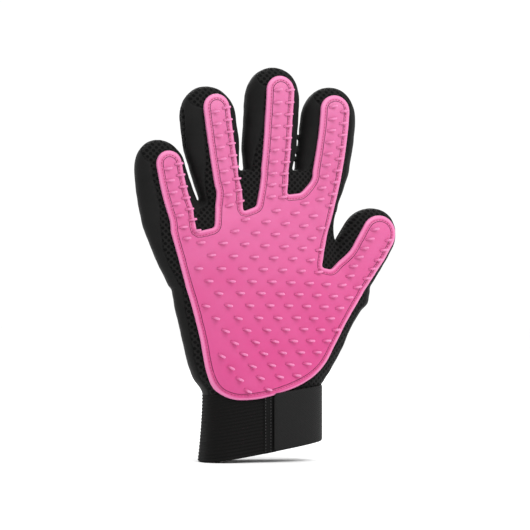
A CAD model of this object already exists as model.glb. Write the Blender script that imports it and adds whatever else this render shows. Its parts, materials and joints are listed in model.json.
"""Looks of the grooming glove: one soft hand-shaped skin, cut into panels at its seams and into
segments at its folds, with a moulded pad, its tips and stitches, and the cuff with its strap."""
import json
import math

import bpy
import numpy as np
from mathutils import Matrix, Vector, noise
from mathutils.bvhtree import BVHTree
from mathutils.geometry import delaunay_2d_cdt


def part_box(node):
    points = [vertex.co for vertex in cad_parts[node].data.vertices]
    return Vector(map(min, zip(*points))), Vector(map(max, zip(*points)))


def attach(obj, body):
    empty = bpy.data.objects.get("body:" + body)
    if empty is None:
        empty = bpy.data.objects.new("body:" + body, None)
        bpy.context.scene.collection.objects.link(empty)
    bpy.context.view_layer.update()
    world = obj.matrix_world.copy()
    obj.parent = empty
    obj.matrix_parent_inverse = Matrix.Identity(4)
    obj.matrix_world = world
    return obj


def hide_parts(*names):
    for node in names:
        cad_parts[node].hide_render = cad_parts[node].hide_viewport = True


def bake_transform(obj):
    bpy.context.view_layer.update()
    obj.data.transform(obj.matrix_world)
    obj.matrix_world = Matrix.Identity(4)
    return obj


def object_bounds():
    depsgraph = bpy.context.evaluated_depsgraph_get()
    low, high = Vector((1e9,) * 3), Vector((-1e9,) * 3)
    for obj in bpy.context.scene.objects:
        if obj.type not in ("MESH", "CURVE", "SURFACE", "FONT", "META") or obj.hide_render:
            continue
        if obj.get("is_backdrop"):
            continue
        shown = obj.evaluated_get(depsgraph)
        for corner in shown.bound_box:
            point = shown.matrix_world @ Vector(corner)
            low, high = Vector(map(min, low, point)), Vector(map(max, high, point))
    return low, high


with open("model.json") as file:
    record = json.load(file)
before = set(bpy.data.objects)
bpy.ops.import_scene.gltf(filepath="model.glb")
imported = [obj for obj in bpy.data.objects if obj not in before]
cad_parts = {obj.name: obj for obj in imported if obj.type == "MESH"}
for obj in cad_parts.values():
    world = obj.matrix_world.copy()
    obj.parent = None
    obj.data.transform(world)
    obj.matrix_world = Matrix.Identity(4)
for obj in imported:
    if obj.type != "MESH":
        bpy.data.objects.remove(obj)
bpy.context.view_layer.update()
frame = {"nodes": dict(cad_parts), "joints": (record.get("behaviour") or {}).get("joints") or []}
MM = 0.001

# ---- sizes, in millimetres ----

FABRIC = 1.6
OVAL_POWER = 2.35
VOXEL = 1.0
NARROWING = 0.16           # of the distance, where a finger nears the palm
WIDEST_BACK = 40           # from the tip, where a widening finger is about widest
BESIDE_CLEAR = 1.6         # past a digit's half width, what still belongs to it
BLEND_LENGTH = 12.0
GUSSET_HALF = 6.5          # of the palm
GUSSET_LEFT = 0.93         # of a finger's half thickness, on the side of the little finger
GUSSET_RIGHT = 0.8
SEAM_DEPTH = 0.6
PAD_THICK = 1.8
CORNER_CLEAR = 2.2         # where a strip's edge hands over to the round of a notch corner
CORNER_ROUND = 1.7
CORNER_STEPS = 4
TIP_TO_EDGE = 5.2          # least distance of a palm tip from the pad's edge
TIP_TO_TIP = 6.2           # and from the tips of a finger
STITCH_INSET = 2.83
STITCH_STEP = 0.475        # a stitch and its gap are four of these
CAP_SHARE = 1.15
CUFF_W, CUFF_D = 35.8, 18.0
CUFF_POWER = 0.8
RIB_PITCH = 2.05
CUFF_TOP = 36.8
CUFF_RUN = 38              # height of the cuff that a line of stitches runs up
HEM_SLOPE = math.tan(math.radians(9.4))
SEAM_SLOPE = math.tan(math.radians(7.5))
STRAP_END_X = 1.7

# Palm sections: height, middle, half width, half thickness.
PALM = [
    (18, 0, 35.4, 18.2), (28, 0, 35.6, 18.2), (37, 0, 36.8, 18.4), (44, 0, 41.9, 17.5),
    (52, 0.9, 46, 16.7), (62, 2.4, 50.4, 15.9), (74, 3.7, 55, 15.3), (86, 6, 60, 14.8),
    (99, 7.5, 63.9, 14.1), (110, -0.3, 60.3, 13.6), (120, -7.2, 58.4, 13.1), (132, -10.7, 58.3, 12.6),
    (141, -5, 53, 12.2), (148, 3, 47, 11.7), (157, 8.5, 42, 11.2), (170, 8.5, 34, 9.6),
]
# Digits: root, bend and tip of the middle line, half width at the tip and its gain per length,
# half thickness, half width and sideways shift of the pad, how far the pad ends from the tip;
# then the rows of tips: first row, pitch, half distance across, skew, where they end, and how
# far back the finger starts to narrow.
DIGITS = {
    "little": ((-41.5, 106), (-64.5, 152.5), (-66, 188.2), 13.8, 0.11, 9.0, 7.9, 3.3, 7.4,
               17.1, 7.2, 3.5, 0.9, 62, 48),
    "ring": ((-22, 133), (-31.5, 177), (-36, 220.8), 17.5, 0, 9.8, 8.2, 3.3, 5.6,
             15.4, 7.2, 3.5, 0.7, 78, 36),
    "middle": ((1.3, 139), (6.4, 183), (8.8, 233.2), 17.1, 0, 10.2, 8.7, 1.4, 5.9,
               14.8, 7.2, 3.7, 0.3, 84, 50),
    "index": ((28, 126), (44, 174), (45.6, 221.8), 17.4, 0, 10.0, 9.2, 0.3, 5.6,
              14.2, 7.2, 3.6, -0.9, 78, 50),
    "thumb": ((48, 96.5), (71, 127.3), (79.2, 146.8), 17.0, 0, 10.0, 11.0, 1.9, 4.4,
              16.4, 6.7, 5.5, -0.4, 46, 60),
}
NAMES = list(DIGITS)
BASE_BACK = [48, 66, 70, 60, 36]
# Left and right corner of each notch in the pad, from little finger to thumb.
NOTCHES = [
    ((-44.4, 132.9), (-33.4, 135.4)), ((-15.2, 145.1), (-6.8, 148.2)),
    ((13.0, 155.5), (21.8, 156.5)), ((35.2, 111.3), (41.6, 110.0)),
]
# The pad's edge below the fingers, from the little finger round to the thumb.
PAD_EDGE = [
    (-60, 133), (-52.8, 109), (-46.9, 89.3), (-42, 70), (-38.2, 50.4), (-33.4, 39.4),
    (-25, 33), (-14, 31.9), (1.5, 34.4), (21, 41), (34.8, 50.6), (44.2, 65), (52.5, 79.6),
    (65, 98.5), (72.5, 109.5),
]
# Place (x, z) of a tip of the palm: the weights of 1, s, r, s * s, s * r and r * r.
PALM_ROWS = np.array([
    (-37.4, 118.6), (13.57, -0.3), (-0.53, -7.45), (-0.2, -0.066), (-0.033, 0.122), (-0.036, -0.006),
])


# ---- small numeric helpers ----

def smoothstep(a, b, x):
    t = np.clip((x - a) / (b - a), 0, 1)
    return t * t * (3 - 2 * t)


def unit(v):
    return v / np.maximum(np.linalg.norm(v, axis=-1, keepdims=True), 1e-12)


def catmull(points, count):
    """A smooth line through the points, with count steps between each two."""
    p = np.array([points[0], *points, points[-1]], float)
    line = []
    for i in range(1, len(p) - 2):
        a, b, c, d = p[i - 1:i + 3]
        for u in np.arange(count) / count:
            line.append(0.5 * (2 * b + (c - a) * u + (2 * a - 5 * b + 4 * c - d) * u ** 2
                               + (3 * b - a - 3 * c + d) * u ** 3))
    return np.array(line + [p[-1]])


def resample(line, step, closed=False):
    """Points at even steps along a line."""
    if closed:
        line = np.vstack([line, line[:1]])
    along = np.concatenate([[0], np.cumsum(np.linalg.norm(np.diff(line, axis=0), axis=1))])
    count = max(3, round(along[-1] / step))
    where = np.linspace(0, along[-1], count + 1)
    even = np.stack([np.interp(where, along, line[:, k]) for k in range(line.shape[1])], axis=1)
    return even[:-1] if closed else even


def oval(half_w, half_t, count):
    v = np.linspace(0, 2 * np.pi, count, endpoint=False)
    c, s = np.cos(v), np.sin(v)
    return np.stack([half_w * np.sign(c) * abs(c) ** (2 / OVAL_POWER),
                     half_t * np.sign(s) * abs(s) ** (2 / OVAL_POWER)], axis=1)


def vertex_normals(points, faces):
    tri = points[faces]
    n = np.cross(tri[:, 1] - tri[:, 0], tri[:, 2] - tri[:, 0])
    total = np.zeros_like(points)
    for k in range(3):
        np.add.at(total, faces[:, k], n)
    return unit(total)


# ---- digits ----

class Digit:
    """A finger's middle line, measured by its distance back from the tip."""

    def __init__(self, name, index):
        (root, bend, tip, self.half_w, self.widen, self.half_t, self.pad_w, self.pad_x, self.pad_end,
         self.first_row, self.pitch, self.row_half, self.row_skew, self.row_end,
         self.narrow_from) = DIGITS[name]
        self.name, self.index = name, index
        t = np.linspace(-0.15, 1.05, 601)[:, None]
        root, bend, tip = map(np.array, (root, bend, tip))
        self.line = (1 - t) ** 2 * root + 2 * t * (1 - t) * bend + t ** 2 * tip
        self.way = unit(2 * (1 - t) * (bend - root) + 2 * t * (tip - bend))
        steps = np.linalg.norm(np.diff(self.line, axis=0), axis=1)
        along = np.concatenate([[0], np.cumsum(steps)])
        self.back = np.interp(1.0, t[:, 0], along) - along
        self.length = float(np.interp(0.0, t[:, 0], self.back))
        folds = sorted((j for j in frame["joints"] if j["name"].startswith(name)),
                       key=lambda j: j["pos_m"][2])
        self.joints = folds
        self.folds = [(np.array([j["pos_m"][0], j["pos_m"][2]]) / MM,
                       np.array([-j["axis"][2], j["axis"][0]])) for j in folds]

    def at(self, back):
        return np.array([np.interp(-back, -self.back, self.line[:, k]) for k in (0, 1)])

    def half(self, back):
        """Half width at a distance back from the tip."""
        return self.half_w + self.widen * back - NARROWING * max(0, back - self.narrow_from)

    def heading(self, back):
        return unit(np.array([np.interp(-back, -self.back, self.way[:, k]) for k in (0, 1)]))

    def beside(self, back, side):
        h = self.heading(back)
        return self.at(back) + side * np.array([h[1], -h[0]])

    def measure(self, xz):
        """Distance back from the tip and sideways from the line, for each point."""
        near = np.argmin(((xz[:, None, :] - self.line[None, ::4, :]) ** 2).sum(axis=2), axis=1) * 4
        off = xz - self.line[near]
        way = self.way[near]
        return (self.back[near] - (off * way).sum(axis=1),
                off[:, 0] * way[:, 1] - off[:, 1] * way[:, 0])

    def past(self, xz, origin, way):
        """Signed distance past a plane across this digit, and -9 off the digit."""
        off = xz - origin
        value = off @ way
        aside = abs(off[:, 0] * way[1] - off[:, 1] * way[0])
        return np.where(aside < self.half_w + self.widen * WIDEST_BACK + BESIDE_CLEAR, value, -9.0)

    def cuts(self):
        """The planes where this digit's pieces begin: below the first fold, then between folds."""
        origin, way = self.folds[0]
        planes = [(origin - way * (BLEND_LENGTH / 2 + 0.3), way)]
        if len(self.folds) > 1:
            after, onward = self.folds[1]
            low, high = origin + way * BLEND_LENGTH / 2, after - onward * BLEND_LENGTH / 2
            planes.append(((low + high) / 2, unit(way + onward)))
        return planes


digits = [Digit(name, i) for i, name in enumerate(NAMES)]
THUMB = digits[-1]


# ---- the hand-shaped skin ----

def loft(rings):
    """A closed tube through rings of equal length, as points and faces."""
    count = len(rings[0])
    points = np.vstack(rings)
    faces = []
    for r in range(len(rings) - 1):
        for k in range(count):
            a, b = r * count + k, r * count + (k + 1) % count
            faces.append((a, b, b + count, a + count))
    faces.append(tuple(range(count))[::-1])
    faces.append(tuple(range((len(rings) - 1) * count, len(rings) * count)))
    return points, faces


def digit_loft(d):
    cap = d.half_w * CAP_SHARE
    stations = [(b, 1.0, 1.0) for b in np.linspace(d.length * 0.99, cap, 14)]
    for v in np.radians(np.linspace(82, 4, 12)):
        stations.append((cap - cap * math.cos(v), math.sin(v) ** 0.96, math.sin(v) ** 0.78))
    rings = []
    for back, w, t in stations:
        p, h = d.at(back), d.heading(back)
        o = oval(d.half(back) * w, d.half_t * t, 40)
        rings.append(np.stack([p[0] + o[:, 0] * h[1], o[:, 1], p[1] - o[:, 0] * h[0]], axis=1))
    return loft(rings)


def palm_loft():
    rings = []
    for z, x, w, t in catmull(PALM, 4):
        o = oval(w, t, 72)
        rings.append(np.stack([x + o[:, 0], o[:, 1], np.full(len(o), z)], axis=1))
    return loft(rings)


def skin():
    """The fused skin: lofts joined by a voxel remesh, then relaxed so the webs run in smoothly."""
    points, faces, base = [], [], 0
    for p, f in [palm_loft()] + [digit_loft(d) for d in digits]:
        points.append(p)
        faces += [tuple(i + base for i in face) for face in f]
        base += len(p)
    mesh = bpy.data.meshes.new("lofts")
    mesh.from_pydata(np.vstack(points).tolist(), [], faces)
    rough = bpy.data.objects.new("lofts", mesh)
    bpy.context.scene.collection.objects.link(rough)
    remesh = rough.modifiers.new("remesh", "REMESH")
    remesh.mode, remesh.voxel_size = "VOXEL", VOXEL
    triangulate = rough.modifiers.new("triangulate", "TRIANGULATE")
    triangulate.quad_method = "SHORTEST_DIAGONAL"
    bpy.context.view_layer.update()
    done = rough.evaluated_get(bpy.context.evaluated_depsgraph_get()).to_mesh()
    points = np.empty(len(done.vertices) * 3)
    done.vertices.foreach_get("co", points)
    points = points.reshape(-1, 3)
    faces = np.empty(len(done.polygons) * 3, int)
    done.polygons.foreach_get("vertices", faces)
    faces = faces.reshape(-1, 3)
    edges = np.empty(len(done.edges) * 2, int)
    done.edges.foreach_get("vertices", edges)
    edges = edges.reshape(-1, 2)
    bpy.data.objects.remove(rough)
    degree = np.bincount(edges.ravel(), minlength=len(points))[:, None]
    for step in range(36):
        total = np.zeros_like(points)
        np.add.at(total, edges[:, 0], points[edges[:, 1]])
        np.add.at(total, edges[:, 1], points[edges[:, 0]])
        points = points + (0.55 if step % 2 == 0 else -0.56) * (total / degree - points)
    return points, faces


def cloth_swell(p):
    """How far the stuffed fabric stands in or out of its smooth shape at a point."""
    v = Vector(p)
    broad = noise.noise(v * 0.045) * 0.5
    fine = noise.noise(Vector((v.x * 0.11, v.y * 0.11, v.z * 0.2)) + Vector((7, 3, 1))) * 0.22
    tuck = 1.7 * math.exp(-((v.z - 90) / 3.6) ** 2 - (v.y / 7) ** 2) if v.x > 55 else 0.0
    return broad + fine + tuck


def seam_half(points):
    """Half width of the side gusset at each point: wider on the fingers, none at a fingertip or
    on the thumb."""
    half = np.full(len(points), GUSSET_HALF)
    nearest = np.full(len(points), 1e9)
    xz = points[:, [0, 2]]
    for d in digits:
        back, aside = d.measure(xz)
        mine = (back < 74) & (abs(aside) < nearest) & (abs(aside) < d.half_w + 12)
        nearest = np.where(mine, abs(aside), nearest)
        if d is THUMB:
            value = GUSSET_HALF * smoothstep(31, 46, back)
        else:
            root = smoothstep(38, 72, back)
            share = np.where(aside < 0, GUSSET_LEFT, GUSSET_RIGHT)
            value = d.half_t * share * (1 - root) + GUSSET_HALF * root
            value = value * np.clip((back - 4) / 9, 0, 1) ** 0.7
        half = np.where(mine, value, half)
    return half


def cut(points, faces, values, snap=0.12):
    """Splits the triangles where values change sign, and returns points, faces and values."""
    values = np.where(abs(values) < snap, 0.0, values)
    side = np.sign(values).astype(int)
    s = side[faces]
    mixed = (s.min(axis=1) < 0) & (s.max(axis=1) > 0)
    out, made, extra = faces[~mixed].tolist(), {}, []

    def between(a, b):
        key = (a, b) if a < b else (b, a)
        if key not in made:
            t = values[a] / (values[a] - values[b])
            made[key] = len(points) + len(extra)
            extra.append(points[a] * (1 - t) + points[b] * t)
        return made[key]

    for face in faces[mixed].tolist():
        ring = []
        for k in range(3):
            a, b = face[k], face[(k + 1) % 3]
            ring.append((a, side[a]))
            if side[a] * side[b] < 0:
                ring.append((between(a, b), 0))
        for sign in (1, -1):
            part = [v for v, where in ring if where * sign >= 0]
            out += [[part[0], part[k], part[k + 1]] for k in range(1, len(part) - 1)]
    if extra:
        points = np.vstack([points, extra])
        values = np.concatenate([values, np.zeros(len(extra))])
    return points, np.array(out), values


# ---- objects ----

def add(name, points, faces, material, body=None, normals=None, raised=None):
    """Makes a piece from points in millimetres, with its rest place kept for its weave."""
    mesh = bpy.data.meshes.new(name)
    mesh.from_pydata((np.asarray(points) * MM).tolist(), [], [list(map(int, f)) for f in faces])
    place = mesh.attributes.new("rest", "FLOAT_VECTOR", "POINT")
    place.data.foreach_set("vector", np.asarray(points, np.float32).ravel())
    if raised is not None:
        mesh.attributes.new("raised", "FLOAT", "POINT").data.foreach_set("value", raised.astype(np.float32))
    mesh.polygons.foreach_set("use_smooth", [True] * len(mesh.polygons))
    if normals is not None:
        mesh.normals_split_custom_set_from_vertices(np.asarray(normals).tolist())
    mesh.materials.append(material)
    obj = bpy.data.objects.new(name, mesh)
    bpy.context.scene.collection.objects.link(obj)
    if body:
        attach(obj, body)
    return obj


def part_of(points, faces, *more):
    """The points a set of faces uses, the faces renumbered, and any other rows in step."""
    used, inverse = np.unique(faces, return_inverse=True)
    return (points[used], inverse.reshape(faces.shape), *[m[used] for m in more])


def bind(obj, segment):
    """Hangs a piece of segment (digit, step) on its bodies. Step 0 is past the first cut."""
    if segment is None:
        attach(obj, "glove_body")
        return
    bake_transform(obj)


def label(segment):
    if segment is None:
        return "palm"
    d, step = segment
    if len(d.folds) == 1:
        return d.name
    return d.name + ("_knuckle", "_end")[step]


SEGMENTS = [None] + [(d, step) for d in digits for step in range(len(d.folds))]


def split_segments(points, faces):
    """Cuts a mesh across the digits and returns its points and each face's segment number."""
    planes = []
    for d in digits:
        for step, (origin, way) in enumerate(d.cuts()):
            values = d.past(points[:, [0, 2]], origin, way)
            points, faces, _ = cut(points, faces, values)
            planes.append((d, step, origin, way))
    centre = points[faces].mean(axis=1)[:, [0, 2]]
    number = np.zeros(len(faces), int)
    for d, step, origin, way in planes:
        past = d.past(centre, origin, way) > 0
        number[past] = [i for i, s in enumerate(SEGMENTS) if s and s[0] is d and s[1] == step][0]
    return points, faces, number


# ---- materials ----

class Nodes:
    """A small writer for a material's nodes. Places are in millimetres, from the rest shape."""

    def __init__(self, name, roughness, **shader):
        self.material = bpy.data.materials.new(name)
        self.material.use_nodes = True
        self.tree = self.material.node_tree
        self.shader = self.tree.nodes["Principled BSDF"]
        self.shader.inputs["Roughness"].default_value = roughness
        for key, value in shader.items():
            self.shader.inputs[key.replace("_", " ")].default_value = value
        place = self.add("ShaderNodeAttribute", attribute_name="rest")
        self.place = place.outputs["Vector"]

    def add(self, kind, **settings):
        node = self.tree.nodes.new(kind)
        for key, value in settings.items():
            setattr(node, key, value)
        return node

    def link(self, value, socket):
        if isinstance(value, (int, float)):
            socket.default_value = value
        elif isinstance(value, tuple):
            socket.default_value = value
        else:
            self.tree.links.new(value, socket)

    def raised(self):
        """1 on the tips and less on the rim, where the rubber looks lighter."""
        return self.add("ShaderNodeAttribute", attribute_name="raised").outputs["Fac"]

    def mix(self, share, a, b):
        node = self.add("ShaderNodeMix", data_type="RGBA")
        for value, k in ((share, 0), (a, 6), (b, 7)):
            self.link(value, node.inputs[k])
        return node.outputs[2]

    def math(self, operation, a, b=0.0):
        node = self.add("ShaderNodeMath", operation=operation)
        for value, socket in zip((a, b), node.inputs):
            self.link(value, socket)
        return node.outputs[0]

    def mapped(self, scale=(1, 1, 1), turn=(0, 0, 0), shift=(0, 0, 0)):
        node = self.add("ShaderNodeMapping")
        self.link(self.place, node.inputs["Vector"])
        self.link(shift, node.inputs["Location"])
        self.link(turn, node.inputs["Rotation"])
        self.link(scale, node.inputs["Scale"])
        return node.outputs[0]

    def axes(self):
        split = self.add("ShaderNodeSeparateXYZ")
        self.link(self.place, split.inputs[0])
        return split.outputs

    def noise(self, scale, detail=3.0, stretch=(1, 1, 1)):
        node = self.add("ShaderNodeTexNoise")
        self.link(self.mapped(stretch), node.inputs["Vector"])
        node.inputs["Scale"].default_value = scale
        node.inputs["Detail"].default_value = detail
        return node.outputs["Fac"]

    def dots(self, pitch, shift=(0, 0, 0)):
        """Distance to the nearest point of a square grid in the x-z plane, in pitches."""
        node = self.add("ShaderNodeTexVoronoi", voronoi_dimensions="2D")
        swap = self.mapped((1 / pitch, 1 / pitch, 1 / pitch), (math.pi / 2, 0, 0), shift)
        self.link(swap, node.inputs["Vector"])
        node.inputs["Scale"].default_value = 1.0
        node.inputs["Randomness"].default_value = 0.0
        return node.outputs["Distance"]

    def ramp(self, value, stops):
        node = self.add("ShaderNodeValToRGB")
        self.link(value, node.inputs["Fac"])
        ramp = node.color_ramp
        while len(ramp.elements) < len(stops):
            ramp.elements.new(0.5)
        for element, (where, colour) in zip(ramp.elements, stops):
            element.position = where
            element.color = (*colour, 1) if len(colour) == 3 else colour
        return node.outputs["Color"]

    def between(self, value, low, high, to_low=0.0, to_high=1.0):
        node = self.add("ShaderNodeMapRange", interpolation_type="SMOOTHSTEP")
        for v, socket in zip((value, low, high, to_low, to_high), node.inputs):
            self.link(v, socket)
        return node.outputs["Result"]

    def bump(self, height, strength, distance):
        node = self.add("ShaderNodeBump")
        node.inputs["Strength"].default_value = strength
        node.inputs["Distance"].default_value = distance * MM
        self.link(height, node.inputs["Height"])
        self.link(node.outputs["Normal"], self.shader.inputs["Normal"])

    def colour(self, value):
        self.link(value, self.shader.inputs["Base Color"])

    def rough(self, value):
        self.link(value, self.shader.inputs["Roughness"])


def grey(v, warm=0.0):
    return (v * (1 + warm), v, v * (1 - warm))


def pad_material():
    n = Nodes("pad_rubber", 0.42, Specular_IOR_Level=0.3, Subsurface_Weight=0.1,
              Subsurface_Scale=0.004)
    n.shader.inputs["Subsurface Radius"].default_value = (1.0, 0.35, 0.5)
    cloud = n.noise(0.045, 3)
    fine = n.noise(0.9, 2)
    height = n.between(n.axes()[2], 45.0, 235.0)
    mixed = n.math("ADD", n.math("MULTIPLY", cloud, 0.3), n.math("MULTIPLY", height, 0.85))
    base = n.ramp(mixed, [(0.1, (0.48, 0.045, 0.185)), (0.5, (0.5, 0.085, 0.232)),
                          (0.95, (0.51, 0.12, 0.27))])
    n.colour(n.mix(n.raised(), base, (0.62, 0.19, 0.37, 1)))
    n.rough(n.between(cloud, 0.3, 0.7, 0.36, 0.5))
    n.bump(n.math("ADD", fine, n.math("MULTIPLY", n.noise(4.0, 2), 0.4)), 0.25, 0.12)
    return n.material


def thread_material(name, colour, dark):
    n = Nodes(name, 0.6, Sheen_Weight=0.2)
    twist = n.noise(3.0, 2, (1, 1, 1))
    n.colour(n.ramp(twist, [(0.35, dark), (0.65, colour)]))
    n.bump(twist, 0.6, 0.15)
    return n.material


def air_mesh_material():
    n = Nodes("air_mesh", 0.72, Sheen_Weight=0.02, Specular_IOR_Level=0.08)
    pitch = 3.7
    holes = n.math("MINIMUM", n.dots(pitch), n.dots(pitch, (0.5, 0.5, 0.5)))
    open_here = n.between(holes, 0.17, 0.3)
    yarn = n.noise(2.4, 3, (1, 1, 1.6))
    lit = n.math("MULTIPLY", open_here, n.between(yarn, 0.25, 0.75, 0.55, 1.0))
    n.colour(n.ramp(lit, [(0.0, grey(0.0004)), (0.35, grey(0.0025)), (1.0, grey(0.0115, 0.03))]))
    n.rough(n.between(yarn, 0.3, 0.7, 0.6, 0.85))
    n.bump(n.math("ADD", open_here, n.math("MULTIPLY", yarn, 0.35)), 0.9, 0.5)
    return n.material


def smooth_fabric_material(name, lightness, sheen):
    n = Nodes(name, 0.62, Sheen_Weight=sheen, Specular_IOR_Level=0.09)
    x, y, z = n.axes()
    wale = n.math("SINE", n.math("MULTIPLY", n.math("ADD", x, y), 2 * math.pi / 0.85))
    course = n.math("SINE", n.math("MULTIPLY", z, 2 * math.pi / 0.7))
    knit = n.math("MULTIPLY", wale, course)
    cloud = n.noise(0.06, 4)
    fuzz = n.noise(1.7, 4)
    shade = n.math("ADD", n.math("MULTIPLY", cloud, 0.6), n.math("MULTIPLY", fuzz, 0.4))
    n.colour(n.ramp(shade, [(0.3, grey(lightness * 0.55)), (0.7, grey(lightness * 1.3, 0.02))]))
    n.rough(n.between(fuzz, 0.3, 0.7, 0.5, 0.7))
    n.bump(n.math("ADD", n.math("MULTIPLY", knit, 0.3), fuzz), 0.45, 0.16)
    return n.material


def elastic_material():
    n = Nodes("elastic_webbing", 0.7, Sheen_Weight=0.01, Specular_IOR_Level=0.07)
    x, y, _ = n.axes()
    thread = n.math("SINE", n.math("MULTIPLY", n.math("ADD", x, n.math("MULTIPLY", y, 1.7)), 5.2))
    fuzz = n.noise(1.3, 3, (1, 1, 2.2))
    n.colour(n.ramp(fuzz, [(0.3, grey(0.0026)), (0.7, grey(0.0056, 0.05))]))
    n.rough(n.between(fuzz, 0.3, 0.7, 0.6, 0.8))
    n.bump(n.math("ADD", n.math("MULTIPLY", thread, 0.5), fuzz), 0.5, 0.15)
    return n.material


def strap_material():
    n = Nodes("strap_tape", 0.66, Sheen_Weight=0.02, Specular_IOR_Level=0.1)
    x, y, z = n.axes()
    across = n.math("ADD", x, n.math("MULTIPLY", y, -0.9))
    warp = n.math("SINE", n.math("MULTIPLY", n.math("ADD", across, n.math("MULTIPLY", z, 0.8)), 6.6))
    weft = n.math("SINE", n.math("MULTIPLY", n.math("SUBTRACT", z, n.math("MULTIPLY", across, 0.35)), 7.4))
    weave = n.math("MAXIMUM", warp, n.math("MULTIPLY", weft, 0.7))
    fuzz = n.noise(1.6, 3)
    lit = n.math("ADD", n.math("MULTIPLY", n.between(weave, -1.0, 1.0), 0.55), n.math("MULTIPLY", fuzz, 0.5))
    n.colour(n.ramp(lit, [(0.25, grey(0.002)), (0.55, grey(0.0062)), (0.85, grey(0.015))]))
    n.rough(n.between(fuzz, 0.3, 0.7, 0.58, 0.76))
    n.bump(n.math("ADD", n.math("MULTIPLY", weave, 0.5), n.math("MULTIPLY", fuzz, 0.5)), 0.6, 0.22)
    return n.material


def plastic_hook_material():
    n = Nodes("hook_plastic", 0.5, Specular_IOR_Level=0.2)
    fuzz = n.noise(0.8, 2)
    n.colour(n.ramp(fuzz, [(0.3, grey(0.012)), (0.7, grey(0.024))]))
    n.bump(fuzz, 0.3, 0.1)
    return n.material


AIR_MESH = air_mesh_material()
SIDE_FABRIC = smooth_fabric_material("side_fabric", 0.0062, 0.03)
BACK_FABRIC = smooth_fabric_material("back_fabric", 0.0062, 0.03)
PAD_RUBBER = pad_material()
PAD_THREAD = thread_material("pad_thread", (0.4, 0.024, 0.125), (0.3, 0.012, 0.085))
BLACK_THREAD = thread_material("black_thread", grey(0.006), grey(0.003))
ELASTIC = elastic_material()
STRAP_TAPE = strap_material()
BINDING = smooth_fabric_material("binding", 0.0035, 0.0)
HOOK_PLASTIC = plastic_hook_material()
LOOP_PILE = smooth_fabric_material("loop_pile", 0.007, 0.05)

# ---- the fabric panels ----

full_points, full_faces = skin()
full_normals = vertex_normals(full_points, full_faces)
full_points = full_points + full_normals * np.array([cloth_swell(p) for p in full_points])[:, None]
full_normals = vertex_normals(full_points, full_faces)
BODY = BVHTree.FromPolygons(full_points.tolist(), full_faces.tolist())


def seam_height(points):
    return CUFF_TOP + points[:, 0] * SEAM_SLOPE


def panels():
    """The skin cut at the wrist, along its seams and across its folds."""
    points, faces = full_points, full_faces
    trim = points[:, 2] - seam_height(points) + 2.4
    points, faces, trim = cut(points, faces, trim)
    faces = faces[trim[faces].min(axis=1) >= 0]
    for sign in (1, -1):
        values = sign * points[:, 1] - seam_half(points)
        points, faces, values = cut(points, faces, values, 0.15)
    points, faces, segment = split_segments(points, faces)
    centre = points[faces].mean(axis=1)
    half = seam_half(centre)
    kind = np.where(centre[:, 1] > half, 2, np.where(centre[:, 1] < -half, 0, 1))
    points, faces, kind, segment = clean(points, faces, kind, segment)
    on_seam = seam_points(points, faces, kind)
    normals = vertex_normals(points, faces)
    points = points - normals * (SEAM_DEPTH * on_seam)[:, None]
    return points, faces, kind, segment, vertex_normals(points, faces)


def clean(points, faces, *rows):
    """Drops points that no face uses, and flat faces."""
    area = np.linalg.norm(np.cross(points[faces[:, 1]] - points[faces[:, 0]],
                                   points[faces[:, 2]] - points[faces[:, 0]]), axis=1)
    keep = area > 1e-7
    points, faces = part_of(points, faces[keep])
    return (points, faces, *[r[keep] for r in rows])


def seam_points(points, faces, kind):
    """1 on a point where two kinds of panel meet, else 0."""
    low = np.full(len(points), 9)
    high = np.zeros(len(points))
    for k in range(3):
        np.minimum.at(low, faces[:, k], kind)
        np.maximum.at(high, faces[:, k], kind)
    return (high > low).astype(float)


def shell(points, faces, normals):
    """An outer and an inner skin, joined at the wrist's open edge."""
    count = len(points)
    inner = points - normals * FABRIC
    rim = abs(points[:, 2] - seam_height(points) + 2.4) < 0.6
    edges = {}
    for face in faces.tolist():
        for k in range(3):
            a, b = face[k], face[(k + 1) % 3]
            if rim[a] and rim[b]:
                edges[(a, b)] = True
    walls = [(b, a, a + count, b + count) for a, b in edges if (b, a) not in edges]
    return (np.vstack([points, inner]), faces.tolist() + (faces[:, ::-1] + count).tolist() + walls,
            np.vstack([normals, -normals]))


def islands(faces):
    """The connected groups of faces."""
    parent = {}

    def root(a):
        while parent.setdefault(a, a) != a:
            parent[a] = parent[parent[a]]
            a = parent[a]
        return a

    for a, b, c in faces.tolist():
        parent[root(a)] = root(b)
        parent[root(b)] = root(c)
    groups = {}
    for i, face in enumerate(faces.tolist()):
        groups.setdefault(root(face[0]), []).append(i)
    return [np.array(g) for g in groups.values()]


PANEL_NAMES = ("mesh", "gussets", "back")
PANEL_MATERIALS = (AIR_MESH, SIDE_FABRIC, BACK_FABRIC)
SIDE_STRIPS = ("outer_gusset", "fourchette_little_ring", "fourchette_ring_middle",
               "fourchette_middle_index", "fourchette_index_thumb", "thumb_gusset")


def make_panel(name, kind, segment, points, faces, normals, nodes):
    p, f, n = part_of(points, faces, normals)
    p, f, n = shell(p, f, n)
    obj = add(name, p, f, PANEL_MATERIALS[kind], normals=n)
    bind(obj, segment)
    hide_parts(*nodes)
    return obj


def nearest_strip(centre):
    def distance(node):
        low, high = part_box(node)
        middle = (np.array(low) + np.array(high)) / 2 / MM
        return float(np.linalg.norm((middle - centre)[[0, 2]]))
    return min(SIDE_STRIPS, key=distance)


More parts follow.
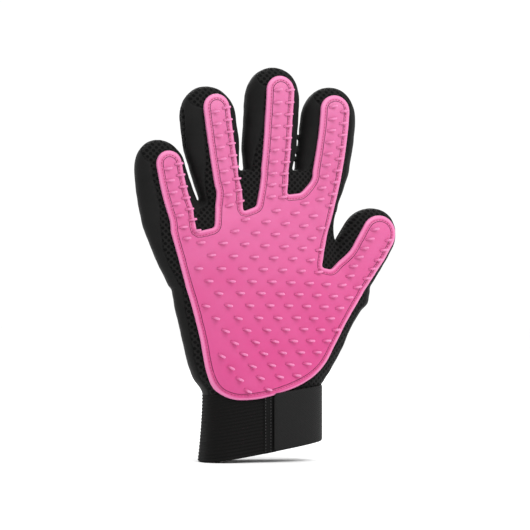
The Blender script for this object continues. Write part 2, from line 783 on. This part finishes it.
def make_panels():
    points, faces, kind, segment, normals = panels()
    for i, where in enumerate(SEGMENTS):
        for k in range(3):
            chosen = faces[(segment == i) & (kind == k)]
            if not len(chosen):
                continue
            if where is None and k == 1:
                strips = {}
                for group in islands(chosen):
                    centre = points[chosen[group]].reshape(-1, 3)
                    name = nearest_strip((centre.min(axis=0) + centre.max(axis=0)) / 2)
                    strips.setdefault(name, []).append(group)
                for name, groups in strips.items():
                    part = chosen[np.concatenate(groups)]
                    make_panel(name + "_cloth", k, None, points, part, normals, [name])
            elif where is None:
                node = "back_panel" if k == 2 else "palm_mesh"
                make_panel(node + "_cloth", k, None, points, chosen, normals, [node])
            else:
                node = label(where) + "_" + PANEL_NAMES[k]
                node = node if node in frame["nodes"] else label(where) + "_back"
                make_panel(label(where) + "_" + PANEL_NAMES[k] + "_cloth", k, where, points, chosen,
                           normals, [node])


make_panels()

# ---- the pad ----


def corner(a, b, c, radius):
    """An arc-like bend at b, on the way from a to c."""
    a, b, c = map(np.array, (a, b, c))
    p, q = b + unit(a - b) * radius, b + unit(c - b) * radius
    t = np.linspace(0, 1, CORNER_STEPS + 1)[:, None]
    return (1 - t) ** 2 * p + 2 * t * (1 - t) * b + t ** 2 * q


def digit_edge(d, side, top_back, low_back):
    """One edge of a digit's strip of pad, from low_back up to where its round end begins."""
    count = max(3, round((low_back - top_back) / 6))
    return np.array([d.beside(b, d.pad_x + side * d.pad_w) for b in np.linspace(low_back, top_back, count)])


def pad_outline():
    """The pad's edge as a closed line of x, z points, round from the little finger to the wrist."""
    lefts, turns, rights = [], [], []
    for i, d in enumerate(digits):
        top = d.pad_end + d.pad_w
        low = np.array(PAD_EDGE[0] if i == 0 else NOTCHES[i - 1][1])
        left = catmull(np.vstack([low, digit_edge(d, -1, top, BASE_BACK[i])]), 8)
        lefts.append(left[np.linalg.norm(left - low, axis=1) > CORNER_CLEAR])
        low = np.array(PAD_EDGE[-1] if i == 4 else NOTCHES[i][0])
        right = catmull(np.vstack([low, digit_edge(d, 1, top, 28 if i == 4 else BASE_BACK[i])]), 8)[::-1]
        rights.append(right[np.linalg.norm(right - low, axis=1) > CORNER_CLEAR])
        turns.append([d.beside(top - d.pad_w * math.sin(v), d.pad_x - d.pad_w * math.cos(v))
                      for v in np.linspace(0, math.pi, 20)[1:-1]])
    line = []
    for i in range(5):
        line += [lefts[i], turns[i], rights[i]]
        if i < 4:
            a, b = NOTCHES[i]
            line.append(corner(rights[i][-1], a, b, CORNER_ROUND))
            line.append(corner(a, b, lefts[i + 1][0], CORNER_ROUND))
    line.append(catmull(PAD_EDGE, 10)[::-1])
    return resample(np.vstack(line), 1.0, closed=True)


OUTLINE = pad_outline()


def inward(line):
    """Unit directions into a closed outline that runs clockwise seen from the palm side."""
    ahead = np.roll(line, -1, axis=0) - np.roll(line, 1, axis=0)
    ahead = unit(ahead)
    return np.stack([ahead[:, 1], -ahead[:, 0]], axis=1)


INWARD = inward(OUTLINE)
area = 0.5 * np.sum(OUTLINE[:, 0] * np.roll(OUTLINE[:, 1], -1) - np.roll(OUTLINE[:, 0], -1) * OUTLINE[:, 1])
if area > 0:
    INWARD = -INWARD


def inside_by(p):
    """Distance of points inside the pad's edge, negative outside it."""
    p = np.atleast_2d(p)
    a, b = OUTLINE, np.roll(OUTLINE, -1, axis=0)
    gap = np.full(len(p), 1e9)
    odd = np.zeros(len(p), bool)
    for q, r in zip(a, b):
        along = r - q
        u = np.clip(((p - q) @ along) / (along @ along), 0, 1)
        gap = np.minimum(gap, np.linalg.norm(p - q - u[:, None] * along, axis=1))
        if q[1] != r[1]:
            crosses = ((q[1] > p[:, 1]) != (r[1] > p[:, 1]))
            x = (r[0] - q[0]) * (p[:, 1] - q[1]) / (r[1] - q[1]) + q[0]
            odd ^= crosses & (p[:, 0] < x)
    return np.where(odd, gap, -gap)


def on_body(xz):
    """The skin's palm-side surface at each x, z: points and smooth normals."""
    places, ups = [], []
    for x, z in xz:
        place, _, face, _ = BODY.ray_cast(Vector((x, -90, z)), Vector((0, 1, 0)))
        if place is None:
            place, _, face, _ = BODY.find_nearest(Vector((x, -8, z)))
        corners = full_points[full_faces[face]]
        weights = np.linalg.lstsq(np.vstack([corners.T, np.ones(3)]), np.array([*place, 1.0]), rcond=None)[0]
        ups.append(weights @ full_normals[full_faces[face]])
        places.append(place)
    return np.array(places), unit(np.array(ups))


# Height of the pad over the fabric by distance in from its edge: round rim, stitch groove, flat.
PAD_PROFILE = [(0, -0.9), (-0.02, 0.35), (0.04, 0.95), (0.2, 1.42), (0.5, 1.74), (0.9, 1.88), (1.6, 1.9),
               (2.35, 1.85), (2.65, 1.66), (3.0, 1.64), (3.3, 1.78), (3.9, PAD_THICK)]


def pad_surface():
    rings = [OUTLINE + INWARD * d for d, _ in PAD_PROFILE]
    count = len(OUTLINE)
    span = OUTLINE.min(axis=0), OUTLINE.max(axis=0)
    pitch = 2.3
    grid = []
    for r, z in enumerate(np.arange(span[0][1], span[1][1], pitch * 0.866)):
        for x in np.arange(span[0][0] + (r % 2) * pitch / 2, span[1][0], pitch):
            grid.append((x, z))
    grid = np.array(grid)
    grid = grid[inside_by(grid) > PAD_PROFILE[-1][0] + 0.9]
    last = rings[-1]
    loop = [(k, (k + 1) % count) for k in range(count)]
    flat = [Vector(p) for p in np.vstack([last, grid])]
    verts, _, tris, origin, _, _ = delaunay_2d_cdt(flat, loop, [], 1, 1e-6)
    place = np.array([[v.x, v.y] for v in verts])
    number = {}
    for new, old in enumerate(origin):
        for o in old:
            number[o] = new
    base = (len(rings) - 1) * count
    points2 = np.vstack([np.vstack(rings[:-1]), place])
    faces = []
    for r in range(len(rings) - 1):
        for k in range(count):
            a, b = r * count + k, r * count + (k + 1) % count
            if r + 1 < len(rings) - 1:
                c, e = b + count, a + count
            else:
                c, e = base + number[(k + 1) % count], base + number[k]
            faces += [(a, b, c), (a, c, e)]
    faces += [tuple(base + v for v in t) for t in tris]
    height = np.concatenate([np.repeat([h for _, h in PAD_PROFILE[:-1]], count),
                             np.full(len(place), PAD_THICK)])
    body, up = on_body(points2)
    points = body + up * height[:, None]
    faces = np.array(faces)
    normal = vertex_normals(points, faces)
    if (normal * up).sum() < 0:
        faces = faces[:, ::-1]
    return points, faces


def blob(path, radii, sides, side_way):
    """A closed tube along a short path, with a radius at each point of it."""
    path = np.array(path, float)
    ahead = unit(np.gradient(path, axis=0))
    across = unit(np.cross(ahead, side_way))
    other = np.cross(ahead, across)
    v = np.linspace(0, 2 * np.pi, sides, endpoint=False)
    rings = [p + r * (np.cos(v)[:, None] * a + np.sin(v)[:, None] * o)
             for p, r, a, o in zip(path, radii, across, other)]
    points = np.vstack(rings)
    faces = []
    for r in range(len(path) - 1):
        for k in range(sides):
            a, b = r * sides + k, r * sides + (k + 1) % sides
            faces.append((a, b, b + sides, a + sides))
    faces.append(tuple(range(sides))[::-1])
    faces.append(tuple(range((len(path) - 1) * sides, len(path) * sides)))
    return points, faces


TIP_LENGTH = 4.7
TIP_LEAN = math.radians(57)


def tip_shape(foot, up):
    """One grooming tip: a soft pin that leans to the thumb side, more downwards near the heel."""
    low_left = float(smoothstep(140, 45, foot[2])) * float(smoothstep(60, -30, foot[0]))
    droop = math.radians(-7 + 36 * low_left)
    aside = np.array([math.cos(droop), 0, -math.sin(droop)])
    aside = unit(aside - up * (aside @ up))
    way = up * math.cos(TIP_LEAN) + aside * math.sin(TIP_LEAN)
    rise = [-0.7, 0.2, 1.0, 2.4, 3.6, 4.2, 4.55, TIP_LENGTH]
    radii = [0.9, 0.84, 0.8, 0.78, 0.76, 0.68, 0.46, 0.14]
    return blob([foot + way * r for r in rise], radii, 10, (0.2, 0.3, 1.0))


def digit_rows(d):
    """Places of the two columns of tips on a digit."""
    spots = []
    for k in range(13):
        row = d.first_row + k * d.pitch
        if row < d.row_end:
            for side in (-1, 1):
                spots.append(d.beside(row - side * d.row_skew, d.pad_x + side * d.row_half))
    return spots


def palm_rows(taken):
    spots = []
    for r in range(-6, 15):
        for c in range(-6, 10):
            s = c + (0 if r % 2 == 0 else 0.5)
            spots.append(np.array([1, s, r, s * s, s * r, r * r]) @ PALM_ROWS)
    spots = np.array(spots)
    room = inside_by(spots) > TIP_TO_EDGE
    clear = np.array([min(np.linalg.norm(np.array(taken) - s, axis=1)) > TIP_TO_TIP
                      for s in spots])
    return spots[room & clear]


def segment_of(xz):
    for i, where in enumerate(SEGMENTS):
        if where is None:
            continue
        d, step = where
        planes = d.cuts()
        point = np.array([xz])
        if d.past(point, *planes[step])[0] > 0 and not (
                step + 1 < len(planes) and d.past(point, *planes[step + 1])[0] > 0):
            return i
    return 0


def gather(items):
    """Joins shapes given as (points, faces) into one."""
    points, faces, base = [], [], 0
    for p, f in items:
        points.append(p)
        faces += [tuple(i + base for i in face) for face in f]
        base += len(p)
    return np.vstack(points), faces


def stitch_shapes():
    """Stitches in the groove inside the pad's rim, as (x, z, points, faces)."""
    line = resample(OUTLINE + INWARD * STITCH_INSET, STITCH_STEP, closed=True)
    body, up = on_body(line)
    rows = []
    for k in range(0, len(line) - 4, 4):
        path = body[k:k + 4] + up[k:k + 4] * np.array([1.5, 1.8, 1.8, 1.5])[:, None]
        points, faces = blob(path, [0.12, 0.2, 0.2, 0.12], 5, up[k])
        rows.append((line[k + 1], points, faces))
    return rows


def make_pad():
    points, faces = pad_surface()
    points, faces, segment = split_segments(points, faces)
    points, faces, segment = clean(points, faces, segment)
    normals = vertex_normals(points, faces)
    spots = [s for d in digits for s in digit_rows(d)]
    spots += list(palm_rows(spots))
    body, up = on_body(spots)
    tips = {}
    for spot, b, u in zip(spots, body, up):
        foot = b + u * PAD_THICK
        shape = tip_shape(foot, u)
        lit = smoothstep(0.9, 2.2, np.linalg.norm(np.asarray(shape[0]) - foot, axis=1))
        tips.setdefault(segment_of(spot), []).append((shape, lit))
    threads = {}
    for spot, p, f in stitch_shapes():
        threads.setdefault(segment_of(spot), []).append((p, f))
    for i, where in enumerate(SEGMENTS):
        p, f, n = part_of(points, faces[segment == i], normals)
        tp, tf = gather([shape for shape, lit in tips[i]])
        rim = 0.75 * smoothstep(1.7, 0.9, inside_by(p[:, [0, 2]]))
        raised = np.concatenate([rim] + [lit for shape, lit in tips[i]])
        tip_normals = vertex_normals(tp, triangles(tf))
        name = label(where) + "_pad"
        tip_faces = [tuple(v + len(p) for v in t) for t in tf]
        obj = add(name + "_rubber", np.vstack([p, tp]), f.tolist() + tip_faces, PAD_RUBBER,
                  normals=np.vstack([n, tip_normals]), raised=raised)
        bind(obj, where)
        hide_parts(name)
        sp, sf = gather(threads[i])
        thread = add(label(where) + "_stitching", sp, sf, PAD_THREAD)
        bind(thread, where)


def triangles(faces):
    return np.array([(f[0], f[k], f[k + 1]) for f in faces for k in range(1, len(f) - 1)])


make_pad()

# ---- the cuff ----


class Around:
    """The cuff's oval, walked by distance from the front middle towards the thumb side."""

    def __init__(self):
        v = np.linspace(-math.pi / 2, 1.5 * math.pi, 1441)
        c, s = np.cos(v), np.sin(v)
        x, y = (size * np.sign(k) * abs(k) ** CUFF_POWER for size, k in ((CUFF_W, c), (CUFF_D, s)))
        self.line = np.stack([x, y], axis=1)
        steps = np.linalg.norm(np.diff(self.line, axis=0), axis=1)
        self.along = np.concatenate([[0], np.cumsum(steps)])
        self.length = self.along[-1]
        turn = unit(np.gradient(self.line, axis=0))
        self.out = np.stack([turn[:, 1], -turn[:, 0]], axis=1)

    def at(self, s, rise=0.0):
        s = np.mod(s, self.length)
        p = np.stack([np.interp(s, self.along, self.line[:, k]) for k in (0, 1)], axis=-1)
        o = unit(np.stack([np.interp(s, self.along, self.out[:, k]) for k in (0, 1)], axis=-1))
        return p + o * np.asarray(rise)[..., None]

    def where_x(self, x):
        """Distance along the front, from the middle, at which the oval reaches x."""
        front = self.along < self.length / 4
        back = self.along > self.length * 3 / 4
        if x >= 0:
            return float(np.interp(x, self.line[front, 0], self.along[front]))
        return float(np.interp(x, self.line[back, 0], self.along[back])) - self.length


AROUND = Around()


def flare(t, x):
    """How far the soft cuff stands out at its hem, on the little finger's side."""
    return 2.7 * np.clip(1 - t, 0, 1) ** 1.4 * smoothstep(4, -34, x)


def band(start, end, inner, outer, low=0.0, high=1.0, across=1.2, up_count=40, ribs=0.0,
         round_by=0.5, wave=0.0, corner_r=0.0):
    """A closed strip of the cuff from start to end along the oval, between two depths."""
    columns = np.linspace(start, end, max(4, round((end - start) / across)) + 1)
    levels = np.linspace(0, 1, up_count + 1)
    s, t = np.meshgrid(columns, levels, indexing="ij")
    centre = AROUND.at(s)
    lower = centre[..., 0] * HEM_SLOPE
    upper = CUFF_TOP + centre[..., 0] * SEAM_SLOPE
    near_end = np.minimum(s - start, end - s)
    cut_off = corner_r - np.sqrt(np.maximum(corner_r ** 2 - np.maximum(corner_r - near_end, 0) ** 2, 0))
    z0 = lower + (upper - lower) * low + cut_off
    z1 = lower + (upper - lower) * high - cut_off
    z = z0 + (z1 - z0) * t
    share = (z - lower) / (upper - lower)
    edge = np.minimum.reduce([near_end, (z - z0), (z1 - z)])
    drop = round_by * (1 - smoothstep(0, 0.9, edge))
    ripple = ribs * np.abs(np.sin(np.pi * (z - lower) / RIB_PITCH)) ** 1.6
    roll = wave * np.sin(s * 0.21 + 1.3) * (1 - share) ** 2
    sheets = []
    for depth, sign in ((outer, 1), (inner, -1)):
        rise = depth + flare(share, centre[..., 0]) + roll + sign * (ripple if sign > 0 else 0) - sign * drop
        xy = AROUND.at(s, rise)
        sheets.append(np.concatenate([xy, z[..., None]], axis=-1).reshape(-1, 3))
    rows, cols = s.shape
    count = rows * cols
    faces = []
    for i in range(rows - 1):
        for j in range(cols - 1):
            a, b, c, d = i * cols + j, (i + 1) * cols + j, (i + 1) * cols + j + 1, i * cols + j + 1
            faces.append((a, b, c, d))
            faces.append((a + count, d + count, c + count, b + count))
    border = [i * cols for i in range(rows)] + [(rows - 1) * cols + j for j in range(1, cols)]
    border += [i * cols + cols - 1 for i in range(rows - 2, -1, -1)] + [j for j in range(cols - 2, 0, -1)]
    for k in range(len(border)):
        a, b = border[k], border[(k + 1) % len(border)]
        faces.append((b, a, a + count, b + count))
    return np.vstack(sheets), faces


S_END = AROUND.where_x(STRAP_END_X)
S_SLIT = (AROUND.where_x(29.0), AROUND.where_x(31.5))
S_HINGE = AROUND.length / 4


def piece(name, shape, material, body="glove_body", nodes=()):
    points, faces = shape
    obj = add(name, points, faces, material, body)
    if nodes:
        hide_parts(*nodes)
    return obj


def thread_line(s_list, t_list, rise):
    """Stitches along a path on the cuff, given as distances around and shares of its height."""
    path = resample(np.stack([s_list, t_list], axis=1) * [1, CUFF_RUN], STITCH_STEP)
    shapes = []
    for k in range(0, len(path) - 4, 4):
        s, t = path[k:k + 4, 0], path[k:k + 4, 1] / CUFF_RUN
        lift = rise + np.array([-0.3, 0.12, 0.12, -0.3])
        xy = AROUND.at(s, lift)
        z = xy[:, 0] * HEM_SLOPE + t * (CUFF_TOP + xy[:, 0] * (SEAM_SLOPE - HEM_SLOPE))
        shapes.append(blob(np.column_stack([xy, z]), [0.16, 0.24, 0.24, 0.16], 5, (0.1, -1, 0.2)))
    return gather(shapes)


def make_cuff():
    piece("elastic_band", band(S_SLIT[1], S_SLIT[0] + AROUND.length, -1.7, 0.0, 0.0, 1.08, ribs=0.42,
                               up_count=150, wave=0.35), ELASTIC, nodes=["cuff_band"])
    piece("wrist_binding_tape", band(0.0, AROUND.length, -2.8, -1.85, 0.76, 1.16, up_count=10), BINDING,
          nodes=["wrist_binding"])
    ridge = band(S_END - 5.9, S_END + 1.6, 0.05, 0.75, 0.0, 0.97, up_count=40, across=0.35, round_by=0.6)
    piece("elastic_hem", ridge, BINDING, nodes=["cuff_hem"])
    rows = [thread_line([s, s], [0.02, 0.95], 0.8) for s in (S_END - 4.9, S_END - 1.6)]
    piece("hem_stitching", gather(rows), BLACK_THREAD)
    piece("loop_base", band(S_END + 2.2, S_SLIT[0] - 0.6, 0.05, 0.5, 0.04, 0.93, up_count=30), LOOP_PILE,
          nodes=["loop_patch"])
    piece("hook_base", band(S_END + 3.2, S_SLIT[0] - 1.8, 1.5, 2.0, 0.06, 0.9, up_count=30), HOOK_PLASTIC,
          "strap", ["hook_patch"])
    strap = piece("closure_strap", band(S_END, S_HINGE + 12.5, 2.05, 3.05, 0.012, 0.965, up_count=44,
                                        across=0.9, corner_r=1.6), STRAP_TAPE,
                  body=None, nodes=["strap_tab", "strap_anchor"])
    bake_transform(strap)


make_cuff()

# ---- the room ----


def floor():
    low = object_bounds()[0][2]
    mesh = bpy.data.meshes.new("floor")
    size, rim = 4.0, 24
    ring = [(size * math.cos(2 * math.pi * k / rim), size * math.sin(2 * math.pi * k / rim), low)
            for k in range(rim)]
    mesh.from_pydata([(0, 0, low)] + ring, [], [(0, k + 1, (k + 1) % rim + 1) for k in range(rim)])
    n = Nodes("floor_paper", 0.9)
    n.colour(n.ramp(n.noise(0.02, 2), [(0.3, (0.965, 0.965, 0.965)), (0.7, (0.98, 0.98, 0.98))]))
    mesh.materials.append(n.material)
    obj = bpy.data.objects.new("floor", mesh)
    bpy.context.scene.collection.objects.link(obj)
    obj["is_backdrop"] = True


def soft_light(name, place, aim, size, power):
    data = bpy.data.lights.new(name, "AREA")
    data.shape, data.size, data.energy = "DISK", size, power
    lamp = bpy.data.objects.new(name, data)
    lamp.location = place
    lamp.rotation_euler = (Vector(aim) - Vector(place)).to_track_quat("-Z", "Y").to_euler()
    bpy.context.scene.collection.objects.link(lamp)


def room():
    floor()
    world = bpy.data.worlds.new("studio")
    world.use_nodes = True
    world.node_tree.nodes["Background"].inputs["Color"].default_value = (1, 1, 1, 1)
    world.node_tree.nodes["Background"].inputs["Strength"].default_value = 1.04
    bpy.context.scene.world = world
    soft_light("key", (0.35, -0.85, 0.95), (0, 0, 0.12), 0.8, 10)
    soft_light("rear", (0.3, 1.2, 0.9), (0, 0, 0.12), 0.8, 8)
    azimuth, elevation, distance = math.radians(-20), 0.0, 1.8
    aim = Vector((0.003 * math.cos(azimuth), 0.003 * math.sin(azimuth), 0.1130))
    back = Vector((math.sin(azimuth) * math.cos(elevation), -math.cos(azimuth) * math.cos(elevation),
                   math.sin(elevation)))
    data = bpy.data.cameras.new("camera")
    data.sensor_width = 36.0
    data.lens = 36.0 * distance / 0.322
    camera = bpy.data.objects.new("camera", data)
    camera.location = aim + back * distance
    camera.rotation_euler = (-back).to_track_quat("-Z", "Y").to_euler()
    bpy.context.scene.collection.objects.link(camera)
    bpy.context.scene.camera = camera
    bpy.context.scene.view_settings.view_transform = "Standard"


room()
